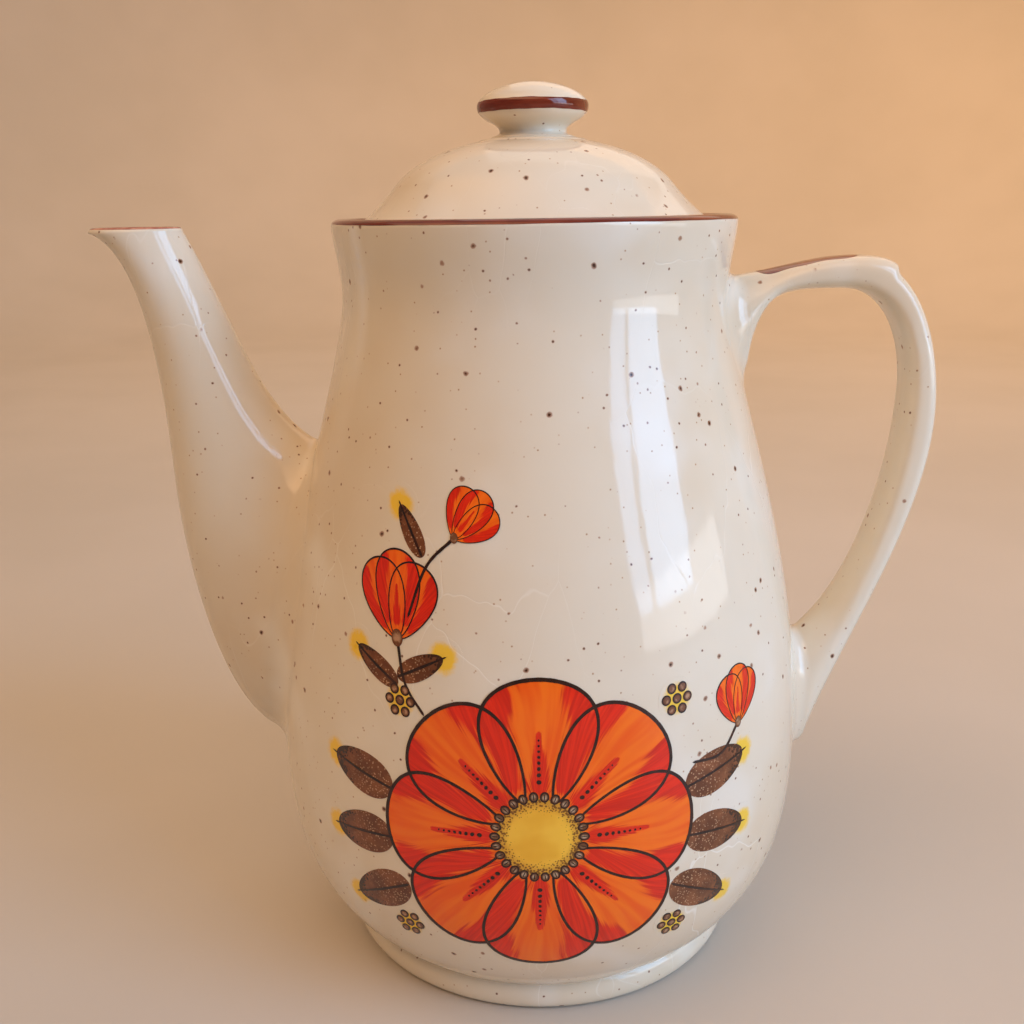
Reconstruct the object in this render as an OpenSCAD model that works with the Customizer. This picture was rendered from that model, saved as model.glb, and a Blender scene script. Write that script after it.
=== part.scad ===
// Coffee pot with a lift-off lid: glazed stoneware, with a swan-neck spout, a strap handle,
// painted brown lines and a fired-on flower decoration.
//
// Units are millimetres. +Z is up and Z = 0 is the plane that the foot stands on.
// The spout points to -X, the handle to +X, and the decorated side faces -Y.
// X = 0 is midway between the tip of the spout and the back of the handle.

/* [Body] */
// Height of the rim's crown above the table
rim_h = 200.6; // [196:0.1:206]
// Outer radius of the rim
rim_r = 52.6; // [52:0.1:54]
// Smallest outer radius of the neck
neck_r = 50.7; // [50:0.1:52]
// Height of the smallest radius of the neck
neck_z = 182; // [178:1:185]
// Largest outer radius of the belly
belly_r = 73.2; // [71:0.1:75]
// Height of the largest radius of the belly
belly_z = 60; // [56:1:64]
// Horizontal thickness of the fired wall
wall = 5; // [4:0.1:5.5]
// Height of the floor inside the pot
floor_z = 11; // [10:0.5:14]

/* [Foot] */
// Height of the foot ring
foot_h = 8; // [7:0.5:9]
// Outer radius of the groove above the foot ring
groove_r = 55.2; // [54:0.1:56]
// Outer radius of the band of foot that meets the table
contact_r = 53.6; // [53:0.1:54.5]
// Inner radius of the foot ring
foot_in_r = 46; // [44:0.5:48]
// Height of the hollow under the pot
hollow_h = 6; // [4:0.5:7]

/* [Spout] */
// Distance from the body's axis to the tip of the spout
spout_reach = 118.6; // [116:0.1:121]
// Height of the mouth of the spout
mouth_z = 199.3; // [196:0.1:202]
// Thickness of the spout's wall
spout_wall = 3; // [2.4:0.1:3.4]
// Radius of the pouring hole through the body's wall
pour_r = 10; // [8:0.5:12]
// Height of the pouring hole
pour_z = 100; // [90:1:110]

/* [Handle] */
// Distance from the body's axis to the back of the handle
handle_reach = 107.3; // [105:0.1:110]
// Width of the strap at its middle
strap_w = 16; // [14:0.5:18]

/* [Lid] */
// Height of the ledge that the lid rests on
seat_z = 196.4; // [195:0.1:197]
// Inner radius of the ledge
seat_in_r = 43.2; // [42:0.1:44]
// Inner radius of the rim above the ledge
mouth_r = 47.6; // [47:0.1:48]
// Radial play between the lid and the pot
lid_play = 1; // [0.6:0.1:1.4]
// Depth of the locating skirt under the lid
skirt_d = 8; // [5:0.5:10]
// Radius of the knob
knob_r = 14.2; // [13:0.1:15]
// Height of the top of the knob above the table
knob_top = 233.7; // [232:0.1:236]

/* [Decoration] */
// Thickness of the fired-on colour
film = 0.15; // [0.1:0.05:0.25]

/* [Hidden] */
$fn = 180;

steps = 10;            // points on each Bezier segment of a turned profile
crown_h = 1.6;         // rise of the rim's rounded crown
dome_top = 220;        // height of the dome under the knob
skirt_in_r = 39.4;     // inner radius of the lid's edge and skirt
seat_t = 3.6;          // thickness of the ledge at its inner edge
seat_root = 6.5;       // thickness of the ledge where it meets the rim
big = 400;             // larger than the whole pot

cream = "#d8c9b4";
brown = "#5e2416";
orange = "#e8501c";
yellow = "#e0a83c";
leaf_brown = "#6a4630";

// ---- curves -------------------------------------------------------------------------

function bez(p, t) =
    let (s = 1 - t) s*s*s*p[0] + 3*s*s*t*p[1] + 3*s*t*t*p[2] + t*t*t*p[3];

// The point at u, from 0 to 1, along a chain of Bezier segments
function along(chain, u) =
    let (n = len(chain), k = min(n - 1, floor(u * n))) bez(chain[k], u * n - k);

function trace(chain, n) = [for (i = [0 : n * len(chain)]) along(chain, i / (n * len(chain)))];

function inset(chain, d) = [for (seg = chain) [for (p = seg) [p[0] - d, p[1]]]];

function flip(list) = [for (i = [len(list) - 1 : -1 : 0]) list[i]];

// ---- turned profiles, as [radius, height] -------------------------------------------

rim_z = rim_h - crown_h;

// Outside of the body, from the groove above the foot to the start of the crown
body_curve = [
    [[groove_r, foot_h], [groove_r + 16, foot_h + 14.6], [belly_r, belly_z - 21], [belly_r, belly_z]],
    [[belly_r, belly_z], [belly_r, belly_z + 54.5], [neck_r, neck_z - 21], [neck_r, neck_z]],
    [[neck_r, neck_z], [neck_r, neck_z + 6], [rim_r - 0.4, rim_z - 6], [rim_r, rim_z]]
];

// Outside of the lid, from its edge to the foot of the knob
dome_curve = [
    [[46.6, 198.6], [43.5, 200.2], [38.5, 205.2], [35.8, 208.6]],
    [[35.8, 208.6], [31.5, 214], [22, 218.9], [9.2, dome_top]]
];
dome_inner = [[[skirt_in_r, seat_z], [37.5, seat_z + 10.1], [27, 215.8], [0, 216.2]]];

// Outside of the knob, from its neck to its widest line and on to its top
knob_neck = 8.6;
knob_widest = 227.6;
knob_under = [[[9.2, dome_top], [8.8, 220.4], [knob_neck, 220.8], [knob_neck, 221.5]],
              [[knob_neck, 221.5], [knob_neck, 223.8], [knob_r, 223.8], [knob_r, knob_widest]]];
knob_over = [[[knob_r, knob_widest], [knob_r, 230.6], [6.5, knob_top], [0, knob_top]]];

// The rim's crown as half an ellipse, raised by d
function crown(d) = [for (a = [0 : 15 : 180])
    [(rim_r + mouth_r) / 2 + ((rim_r - mouth_r) / 2 + d) * cos(a), rim_z + (crown_h + d) * sin(a)]];

module turned(points) {
    rotate_extrude() polygon(points);
}

// The body's outside as one solid, grown sideways by d
module body_solid(d = 0) {
    turned(concat([[0, foot_h]], trace(inset(body_curve, -d), steps), [[0, rim_z]]));
}

// ---- swept pieces -------------------------------------------------------------------

// One ring of a sweep: an oval through the points po and pi of the X-Z plane,
// half_w wide to each side, and grown by g
function ring(po, pi, half_w, g, sides) =
    let (c = (po + pi) / 2, h = (po - pi) / 2, k = (norm(h) + g) / norm(h))
    [for (i = [0 : sides - 1]) let (a = 360 * i / sides)
        [c[0] + k * h[0] * cos(a), (half_w + g) * sin(a), c[1] + k * h[1] * cos(a)]];

module sweep(rings) {
    n = len(rings[0]);
    m = len(rings);
    points = [for (r = rings) for (p = r) p];
    sides = [for (j = [0 : m - 2]) for (i = [0 : n - 1]) let (k = (i + 1) % n)
        each [[j*n + i, (j+1)*n + k, (j+1)*n + i], [j*n + i, j*n + k, (j+1)*n + k]]];
    ends = [[for (i = [n - 1 : -1 : 0]) i], [for (i = [0 : n - 1]) (m - 1)*n + i]];
    polyhedron(points = points, faces = concat(sides, ends), convexity = 6);
}

// Spout: its outer and inner edges in the X-Z plane, from the body to the mouth.
// X is measured from the body's axis here and in the handle.
spout_outer = [
    [[-77.4, 57.5], [-91, 65.2], [-99.6, 101.4], [-100.5, 131.7]],
    [[-100.5, 131.7], [-101.3, 157.5], [-103.3, 193.7], [-spout_reach, mouth_z]]
];
spout_inner = [
    [[-61, 141.5], [-66, 144.5], [-70.5, 149.5], [-75, 157.5]],
    [[-75, 157.5], [-79.5, 165.5], [-86, 184], [-92.9, mouth_z]]
];
spout_half_w = [24, 16, 12, 9.5];
spout_root = [15, 0];  // how far the first ring is pushed into the body
spout_rings = 22;
spout_sides = 32;
spout_line_h = 1.2;    // height of the painted line round the mouth

function spout_ring(s, g, push = [0, 0]) =
    ring(along(spout_outer, s) + push, along(spout_inner, pow(s, 1.75)) + push,
         bez(spout_half_w, s), g, spout_sides);

function spout_sweep(g) = concat([spout_ring(0, g, spout_root)],
    [for (i = [0 : spout_rings]) spout_ring(i / spout_rings, g)]);

// The channel runs a little past the mouth so that it cuts it open
function channel_sweep() = concat(spout_sweep(-spout_wall),
    [[for (p = spout_ring(1, -spout_wall)) p + [-1, 0, 2]]]);

// Handle: the outer and inner edges of the strap, from its upper to its lower pad
handle_outer = [
    [[51.4, 184.6], [65.5, 186.5], [74.4, 189.8], [84.3, 189.5]],
    [[84.3, 189.5], [99.7, 188.6], [106.2, 169.8], [handle_reach, 152.2]],
    [[handle_reach, 152.2], [109.3, 120.9], [84.8, 79], [75.8, 50]]
];
handle_inner = [
    [[56, 157], [57.5, 181], [62, 181.3], [80.4, 181.3]],
    [[80.4, 181.3], [92.7, 181.2], [99.2, 169.3], [99, 154]],
    [[99, 154], [98.3, 124.4], [88.4, 98.1], [74.2, 84.9]]
];
handle_root = [-12, 0];  // how far the first and last rings are pushed into the body
handle_rings = 36;
handle_sides = 24;
nub_at = [92.8, 184.6];        // middle of the thumb nub, its radius and its half width
nub_r = 3.4;
nub_half_w = 3.5;
handle_line_x = [56, 87];      // ends of the painted line on the strap, and its width
handle_line_w = 6;

// Half width of the strap: wide pads at both ends
function handle_half_w(s) = strap_w / 2 + 4 * pow(max(0, 1 - 5 * s), 2) + 4 * pow(max(0, 5 * s - 4), 2);

function handle_ring(s, g, push = [0, 0]) =
    ring(along(handle_outer, s) + push, along(handle_inner, s) + push, handle_half_w(s), g, handle_sides);

function handle_sweep(g) = concat([handle_ring(0, g, handle_root)],
    [for (i = [0 : handle_rings]) handle_ring(i / handle_rings, g)],
    [handle_ring(1, g, handle_root)]);

// ---- decoration ---------------------------------------------------------------------

// Colour film on the front of the body, cut to the outline that it is given in X and Z
module front_film() {
    intersection() {
        rotate([90, 0, 0]) linear_extrude(height = 80) children();
        difference() {
            body_solid(film);
            body_solid();
        }
    }
}

// A pointed leaf or bud: length along +X from the origin, and its width
module lens(l, w) {
    half = trace([[[0, 0], [l * 0.2, w * 0.66], [l * 0.75, w * 0.66], [l, 0]]], 8);
    polygon(concat(half, [for (i = [len(half) - 2 : -1 : 1]) [half[i][0], -half[i][1]]]));
}

// A broad petal with a shallow notch in its tip, along +X from the origin
module petal(l, w) {
    half = trace([
        [[0, 2], [l * 0.2, w * 0.28], [l * 0.45, w * 0.6], [l * 0.76, w * 0.5]],
        [[l * 0.76, w * 0.5], [l * 0.95, w * 0.44], [l * 1.06, w * 0.16], [l * 0.96, 0]]], 6);
    polygon(concat(half, [for (i = [len(half) - 2 : -1 : 0]) [half[i][0], -half[i][1]]]));
}

eye_at = [0, 62.4];       // middle of the large flower's eye, and its two radii
eye_size = [16.3, 12.8];
berry_r = 3;

// Direction in degrees, length and width of each petal of the large flower
petals = [[90, 36.5, 42], [15, 44.5, 34], [-41, 45, 28], [-114, 40.5, 33], [173, 46.5, 33]];

// Foot of each leaf, its direction, length and width
leaf_list = [[-38, 82.5, 122, 22, 13], [-32, 85, 63, 23, 12], [-41, 76.5, 195, 10, 8],
             [36, 84.5, 103, 14, 7], [45, 64.5, 32, 10, 6], [42, 43, 26, 15, 9],
             [-26, 132, 100, 15, 5.5], [-24, 128.5, 0, 11, 5]];

// Middle of each cluster of berries
berry_list = [[-26.5, 88], [26.8, 89], [-35.5, 42], [6.5, 28.5], [38.2, 46.5]];

// ---- pot ----------------------------------------------------------------------------

module body_shell() {
    inner = [for (p = trace(inset(body_curve, wall), steps)) if (p[1] > floor_z + 0.5 && p[1] < neck_z) p];
    color(cream) difference() {
        turned(concat(
            [[0, hollow_h], [foot_in_r, hollow_h], [foot_in_r, foot_h]],
            trace(body_curve, steps),
            crown(0),
            [[mouth_r, seat_z - 8], [neck_r - wall, neck_z]],
            flip(inner),
            [[inner[0][0] - 3, floor_z], [0, floor_z]]));
        translate([-belly_r, 0, pour_z]) rotate([0, 90, 0]) cylinder(r = pour_r, h = 20);
    }
}

module foot_ring() {
    bulge = trace([[[contact_r, 0], [groove_r + 1.4, 0.8], [groove_r + 1.6, 6.2], [groove_r - 0.6, foot_h]]], steps);
    color(cream) turned(concat([[foot_in_r + 1.5, 0]], bulge, [[foot_in_r, foot_h], [foot_in_r, 1.5]]));
}

module lid_seat() {
    color(cream) turned([[seat_in_r, seat_z - seat_t], [mouth_r, seat_z - seat_root],
        [mouth_r, seat_z], [seat_in_r, seat_z]]);
}

module rim_line() {
    color(brown) turned(concat(crown(film), flip(crown(0))));
}

module spout() {
    color(cream) difference() {
        sweep(spout_sweep(0));
        sweep(channel_sweep());
        body_solid();
    }
}

module spout_line() {
    color(brown) difference() {
        sweep(spout_sweep(film));
        sweep(spout_sweep(0));
        translate([-big / 2, -big / 2, mouth_z - spout_line_h - big]) cube(big);
        translate([-big / 2, -big / 2, mouth_z]) cube(big);
    }
}

module handle() {
    color(cream) difference() {
        union() {
            sweep(handle_sweep(0));
            thumb_nub();
        }
        body_solid();
    }
}

// The small rounded end of the strap's top layer
module thumb_nub() {
    hull() for (y = [-nub_half_w, nub_half_w])
        translate([nub_at[0], y, nub_at[1]]) sphere(r = nub_r, $fn = 24);
}

module handle_line() {
    color(brown) difference() {
        intersection() {
            sweep(handle_sweep(film));
            translate([handle_line_x[0], -handle_line_w / 2, neck_z + 1])
                cube([handle_line_x[1] - handle_line_x[0], handle_line_w, 10]);
        }
        sweep(handle_sweep(0));
    }
}

// ---- lid ----------------------------------------------------------------------------

module lid_dome() {
    edge_r = mouth_r - lid_play;
    color(cream) turned(concat(
        [[edge_r - 0.6, seat_z], [edge_r, seat_z + 0.8]],
        trace(dome_curve, steps),
        [[0, dome_top]],
        flip(trace(dome_inner, steps))));
}

module lid_skirt() {
    outer = seat_in_r - lid_play;
    color(cream) turned([[skirt_in_r, seat_z - skirt_d + 1], [skirt_in_r + 0.6, seat_z - skirt_d],
        [outer - 1, seat_z - skirt_d], [outer, seat_z - skirt_d + 1.5], [outer, seat_z],
        [skirt_in_r, seat_z]]);
}

module knob() {
    color(cream) turned(concat([[0, dome_top]], trace(knob_under, steps), trace(knob_over, steps)));
}

module knob_line() {
    under = [for (p = trace(knob_under, steps)) if (p[1] > knob_widest - 1.3) p];
    over = [for (p = trace(knob_over, steps)) if (p[1] < knob_widest + 1.8) p];
    line = concat(under, over);
    color(brown) turned(concat([for (p = line) [p[0] + film, p[1]]], flip(line)));
}

// ---- colours ------------------------------------------------------------------------

module petal_outlines() {
    translate(eye_at) for (p = petals) rotate(p[0]) petal(p[1], p[2]);
}

module eye_outline() {
    translate(eye_at) scale(eye_size) circle(r = 1);
}

module leaf_outlines() {
    for (p = leaf_list) translate([p[0], p[1]]) rotate(p[2]) lens(p[3], p[4]);
}

module flower_petals() {
    color(orange) front_film() difference() {
        petal_outlines();
        eye_outline();
    }
}

module flower_eye() {
    color(yellow) front_film() eye_outline();
}

module tulip() {
    color(orange) front_film() translate([-33, 107])
        for (p = [[128, 25], [93, 25], [50, 22]]) rotate(p[0]) lens(p[1], 15);
}

module heart_bud() {
    color(orange) front_film() translate([-17.5, 135]) for (a = [50, 12]) rotate(a) lens(12.5, 9);
}

module side_bud() {
    color(orange) front_film() translate([47.2, 80]) for (a = [118, 90, 62]) rotate(a) lens(15, 8);
}

module leaves() {
    color(leaf_brown) front_film() difference() {
        leaf_outlines();
        petal_outlines();
    }
}

module berries() {
    color(leaf_brown) front_film() difference() {
        for (p = berry_list) translate(p) circle(r = berry_r, $fn = 32);
        petal_outlines();
        leaf_outlines();
    }
}

// The body's axis lies off X = 0, because X = 0 is the middle of the whole pot's length
axis_x = (spout_reach - max([for (p = trace(handle_outer, 60)) p[0]])) / 2;

module place() {
    translate([axis_x, 0, 0]) children();
}

place() body_shell();
place() foot_ring();
place() lid_seat();
place() rim_line();
place() spout();
place() spout_line();
place() handle();
place() handle_line();
place() lid_dome();
place() lid_skirt();
place() knob();
place() knob_line();
place() flower_petals();
place() flower_eye();
place() tulip();
place() heart_bud();
place() side_bud();
place() leaves();
place() berries();
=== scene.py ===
"""A glazed stoneware coffee pot: ware and a fired-on decoration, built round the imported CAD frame.

Lengths are in millimetres and heights are above the table, as in the design; build() turns them into metres.
X is measured from the axis of the body. The decoration is drawn flat, as (u, z): u is the distance round the
body from its front, and z the height.
"""
import math

import bmesh
import bpy
import numpy as np
from mathutils import Matrix, Vector


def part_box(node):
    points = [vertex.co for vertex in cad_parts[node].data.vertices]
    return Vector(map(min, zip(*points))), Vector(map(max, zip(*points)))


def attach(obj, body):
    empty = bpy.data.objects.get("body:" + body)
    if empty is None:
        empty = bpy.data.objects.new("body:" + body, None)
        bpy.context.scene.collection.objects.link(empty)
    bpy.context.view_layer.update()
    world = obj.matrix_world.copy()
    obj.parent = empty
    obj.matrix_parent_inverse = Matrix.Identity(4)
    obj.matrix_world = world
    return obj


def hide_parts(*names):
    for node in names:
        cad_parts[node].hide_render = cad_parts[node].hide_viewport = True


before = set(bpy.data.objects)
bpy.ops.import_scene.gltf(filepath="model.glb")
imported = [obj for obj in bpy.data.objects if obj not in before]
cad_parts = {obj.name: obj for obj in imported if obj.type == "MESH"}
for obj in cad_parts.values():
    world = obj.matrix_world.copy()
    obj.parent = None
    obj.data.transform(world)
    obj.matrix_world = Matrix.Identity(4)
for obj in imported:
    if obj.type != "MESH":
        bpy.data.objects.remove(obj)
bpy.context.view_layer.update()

MM = 0.001
TURN = 2 * math.pi

# ---- the frame ------------------------------------------------------------------------

ring_low, ring_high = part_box("foot_ring")
AXIS = (ring_low.x + ring_high.x) / 2 / MM      # X of the body's axis in the frame

# Turned profiles, as (radius, height)
RIM_R, MOUTH_R, RIM_Z, CROWN_H = 52.6, 47.6, 199.0, 1.6
NECK_R, NECK_Z = 50.7, 182.0
BELLY_R, BELLY_Z = 73.2, 60.0
GROOVE_R, FOOT_H, FOOT_IN_R, HOLLOW_H = 55.2, 8.0, 46.0, 6.0
WALL, FLOOR_Z = 5.0, 11.0
SEAT_Z, SEAT_IN_R = 196.4, 43.2
POUR_R, POUR_Z = 10.0, 100.0

BODY_CURVE = [
    [(GROOVE_R, FOOT_H), (71.2, 22.6), (BELLY_R, 39), (BELLY_R, BELLY_Z)],
    [(BELLY_R, BELLY_Z), (BELLY_R, 114.5), (NECK_R, 161), (NECK_R, NECK_Z)],
    [(NECK_R, NECK_Z), (NECK_R, 188), (52.2, 193), (RIM_R, RIM_Z)],
]
FOOT_BULGE = [[(53.6, 0.35), (56.6, 0.8), (56.8, 6.2), (54.4, 8.1)]]
DOME_CURVE = [
    [(46.6, 198.6), (43.5, 200.2), (38.5, 205.2), (35.8, 208.6)],
    [(35.8, 208.6), (32.3, 213.0), (25.2, 217.0), (15.0, 219.0)],
    [(15.0, 219.0), (14.0, 219.2), (13.9, 219.6), (12.6, 219.7)],
    [(12.6, 219.7), (11.8, 219.8), (11.4, 220.0), (10.6, 220.1)],
]
DOME_INNER = [[(39.4, SEAT_Z), (37.5, 206.5), (27, 215.8), (0, 216.2)]]
KNOB_UNDER = [
    [(10.9, 219.9), (10.9, 220.6), (8.6, 220.5), (8.6, 221.6)],
    [(8.6, 221.6), (8.6, 224.0), (14.2, 223.9), (14.2, 227.6)],
]
KNOB_OVER = [[(14.2, 227.6), (14.2, 230.7), (6.8, 233.7), (0, 233.7)]]

# Spout: outer and inner edges as (X, height), from the body to the mouth
LIP_H = 1.3
MOUTH_Z = 199.3 - LIP_H
SPOUT_WALL = 3.0
SPOUT_OUTER = [
    [(-77.4, 57.5), (-91, 65.2), (-99.6, 101.4), (-100.5, 131.7)],
    [(-100.5, 131.7), (-101.3, 157.5), (-103.3, 193.7), (-117.4, MOUTH_Z)],
]
SPOUT_INNER = [
    [(-61, 141.5), (-66, 144.5), (-70.5, 149.5), (-75, 157.5)],
    [(-75, 157.5), (-79.5, 165.5), (-86, 184), (-92.9, MOUTH_Z)],
]
SPOUT_HALF_W = [(24,), (16,), (12,), (9.5,)]

# Handle: outer and inner edges of the strap, from its upper to its lower pad
STRAP_W = 16.0
HANDLE_OUTER = [
    [(51.4, 184.6), (65.5, 186.5), (74.4, 189.8), (84.3, 189.5)],
    [(84.3, 189.5), (99.7, 188.6), (106.2, 169.8), (107.3, 152.2)],
    [(107.3, 152.2), (109.3, 120.9), (84.8, 79), (75.8, 50)],
]
HANDLE_INNER = [
    [(56, 157), (57.5, 181), (62, 181.3), (80.4, 181.3)],
    [(80.4, 181.3), (92.7, 181.2), (99.2, 169.3), (99, 154)],
    [(99, 154), (98.3, 124.4), (88.4, 98.1), (74.2, 84.9)],
]
NUB_S = 0.408            # where the thumb nub stands along the handle
NUB_RISE = 1.5

# Paint: how far a painted line stands out of the ware, and how deep it reaches in
PAINT_LIFT, PAINT_UNDER = 0.07, -0.25
LIP_PAINT_LIFT, LIP_PAINT_UNDER = 0.06, -0.20
BODY_SIDES = 240

# Where a fillet's hidden edge runs on, as (distance past its foot, height above the wall)
TUCKS = ((1.6, -1.2), (1.1, -0.14), (0.45, -0.03))


# ---- curves ---------------------------------------------------------------------------


def bezier(points, t):
    p = np.asarray(points, float)
    t = np.asarray(t, float)[..., None]
    s = 1 - t
    return s ** 3 * p[0] + 3 * s * s * t * p[1] + 3 * s * t * t * p[2] + t ** 3 * p[3]


def along(chain, u):
    """Points at u, from 0 to 1, on a chain of Bezier segments."""
    u = np.clip(np.asarray(u, float), 0, 1) * len(chain)
    k = np.minimum(u.astype(int), len(chain) - 1)
    out = np.zeros(u.shape + (2,))
    for i, segment in enumerate(chain):
        out[k == i] = bezier(segment, (u - i)[k == i])
    return out


def trace(chain, steps):
    """Points along a chain, with steps on each segment."""
    return along(chain, np.linspace(0, 1, steps * len(chain) + 1))


def spline(points, steps, closed=False):
    """A smooth curve through points, with steps from each to the next."""
    p = np.asarray(points, float)
    n = len(p)
    if closed:
        q = np.vstack([p[-1], p, p[0], p[1]])
    else:
        q = np.vstack([2 * p[0] - p[1], p, 2 * p[-1] - p[-2]])
    spans = n if closed else n - 1
    t = np.linspace(0, 1, steps, endpoint=False)[:, None]
    out = []
    for i in range(spans):
        a, b, c, d = q[i:i + 4]
        out.append(0.5 * (2 * b + (c - a) * t + (2 * a - 5 * b + 4 * c - d) * t ** 2
                          + (3 * b - a - 3 * c + d) * t ** 3))
    if not closed:
        out.append(p[-1:])
    return np.vstack(out)


def fade(x, low, high):
    """0 below low, 1 above high, and smooth between."""
    t = np.clip((x - low) / (high - low), 0, 1)
    return t * t * (3 - 2 * t)


# ---- the body's surface ---------------------------------------------------------------

WALL_LINE = trace(BODY_CURVE, 400)


def ripple(angle, z):
    """Unevenness that throwing and firing leave in the wall."""
    wave = (0.10 * np.sin(2 * angle + z / 61 + 0.7) + 0.07 * np.sin(5 * angle - z / 27)
            + 0.05 * np.sin(9 * angle + z / 13 + 2.0))
    return wave * fade(z, 14, 34) * (1 - fade(z, 172, 192))


def radius(z):
    return np.interp(z, WALL_LINE[:, 1], WALL_LINE[:, 0])


def on_body(u, z, lift=0.0):
    """The point of the outer wall at distance u round from the front and height z, raised by lift."""
    r = radius(z)
    angle = u / r
    r = r + ripple(angle, z) + lift
    return np.stack(np.broadcast_arrays(r * np.sin(angle), -r * np.cos(angle), z), -1)


def clearance(p):
    """How far points are outside the body's wall, measured level."""
    angle = np.arctan2(p[..., 0], -p[..., 1])
    return np.hypot(p[..., 0], p[..., 1]) - radius(p[..., 2]) - ripple(angle, p[..., 2])


# ---- meshes ---------------------------------------------------------------------------


def build(name, sheets, material, sharp=50, fields=None):
    """One mesh from sheets, each a pair of points (rows, columns, xyz) and loop. The columns run round and
    close on themselves, and so do the rows when loop is set."""
    verts, faces, start = [], [], 0
    for points, loop in sheets:
        n, m = points.shape[:2]
        grid = np.arange(n * m).reshape(n, m) + start
        if loop:
            grid = np.vstack([grid, grid[:1]])
        side = np.roll(grid, -1, axis=1)
        quads = np.stack([grid[:-1], side[:-1], side[1:], grid[1:]], -1).reshape(-1, 4)
        verts.append(points.reshape(-1, 3))
        faces.append(quads)
        start += n * m
    verts = np.vstack(verts) + [AXIS, 0, 0]
    mesh = bpy.data.meshes.new(name)
    mesh.from_pydata((verts * MM).tolist(), [], np.vstack(faces).tolist())
    for field, values in (fields or {}).items():
        data = mesh.attributes.new(field, "FLOAT", "POINT").data
        data.foreach_set("value", np.asarray(values, np.float32).ravel())
    bm = bmesh.new()
    bm.from_mesh(mesh)
    bmesh.ops.remove_doubles(bm, verts=bm.verts, dist=2e-7)
    bmesh.ops.dissolve_degenerate(bm, edges=bm.edges, dist=1e-7)
    bmesh.ops.recalc_face_normals(bm, faces=bm.faces)
    bm.to_mesh(mesh)
    bm.free()
    mesh.shade_smooth()
    mesh.set_sharp_from_angle(angle=math.radians(sharp))
    piece = bpy.data.objects.new(name, mesh)
    bpy.context.scene.collection.objects.link(piece)
    mesh.materials.append(material)
    return piece


def settle(piece, body, slot, *nodes):
    """Says which body a piece moves with, and hides the CAD nodes it stands for. The slot argument, its
    finish, is not used.
    """
    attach(piece, body)
    if nodes:
        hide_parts(*nodes)
    return piece


def lathe(profile, sides, uneven=None):
    """A turned sheet from a profile of (radius, height), with uneven(angle, height) added to the radius."""
    profile = np.asarray(profile, float)
    angle = np.arange(sides) * TURN / sides
    r, z = profile[:, :1], profile[:, 1:]
    if uneven is not None:
        r = r + uneven(angle[None, :], z)
    x, y, z = np.broadcast_arrays(r * np.sin(angle), -r * np.cos(angle), z)
    return np.stack([x, y, z], -1)


def corner(before, at, after, reach, steps=5):
    """A rounded corner at a point, starting and ending reach away from it."""
    at = np.asarray(at, float)
    ends = []
    for p in (before, after):
        d = np.asarray(p, float) - at
        ends.append(at + d * min(reach / np.linalg.norm(d), 0.5))
    t = np.linspace(0, 1, steps)[:, None]
    return (1 - t) ** 2 * ends[0] + 2 * t * (1 - t) * at + t ** 2 * ends[1]


def rounded(points, reach, closed=True):
    """An outline with each corner rounded."""
    n = len(points)
    out = []
    for i, p in enumerate(points):
        if not closed and i in (0, n - 1):
            out.append(np.asarray([p], float))
        else:
            out.append(corner(points[i - 1], p, points[(i + 1) % n], reach))
    return np.vstack(out)


# ---- materials ------------------------------------------------------------------------


def rgb(red, green, blue):
    """A colour given as 0 to 255 in sRGB, as Blender's linear colour."""
    shares = [c / 255 for c in (red, green, blue)]
    return (*[c / 12.92 if c <= 10 / 255 else ((c + 0.055) / 1.055) ** 2.4 for c in shares], 1.0)


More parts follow.
